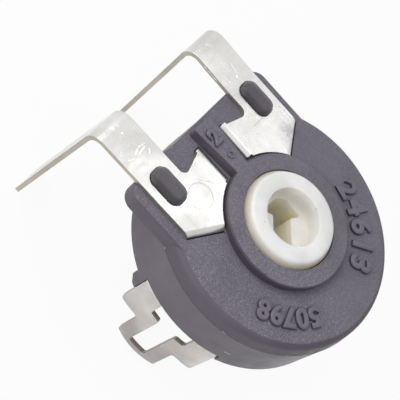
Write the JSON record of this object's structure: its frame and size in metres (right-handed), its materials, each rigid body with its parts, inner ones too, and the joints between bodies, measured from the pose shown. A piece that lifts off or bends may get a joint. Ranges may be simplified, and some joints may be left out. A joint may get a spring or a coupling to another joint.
{
  "type": "trimmer potentiometer",
  "caption": "Single-turn carbon trimmer potentiometer with a round dark housing, white rotor with an arrow-shaped socket and long bent solder terminals.",
  "frame": {"origin": "on the rotor's axis, in the plane of the cover's face", "axes": "+Z out of the cover's face along the rotor's axis, +Y towards the two track terminals, the wiper terminal on the -X side"},
  "size_m": [0.0158, 0.0205, 0.0118],
  "materials": {
    "cover_plastic": "finely grained moulded thermoplastic",
    "housing_plastic": "smooth moulded thermoplastic",
    "rotor_plastic": "smooth off-white moulded thermoplastic",
    "tinned_sheet": "bright tin plate, scuffed",
    "matte_tinned_sheet": "dull tin plate",
    "laminate": "paper laminate",
    "carbon_film": "printed carbon ink",
    "silver_film": "printed silver ink",
    "spring_bronze": "rolled spring bronze"
  },
  "bodies": {
    "housing": {"front_cover": "cover_plastic", "rear_housing": "housing_plastic", "left_track_terminal": "tinned_sheet", "right_track_terminal": "tinned_sheet", "wiper_terminal": "matte_tinned_sheet", "track_substrate": "laminate", "carbon_track": "carbon_film", "left_end_pad": "silver_film", "right_end_pad": "silver_film"},
    "rotor_assembly": {"rotor": "rotor_plastic", "wiper_spring": "spring_bronze"}
  },
  "joints": [
    {"name": "rotor_turn", "type": "hinge", "parent": "housing", "child": "rotor_assembly", "pos_m": [0, 0, 0], "axis": [0, 0, 1], "range_deg": [-132.5, 132.5]}
  ]
}
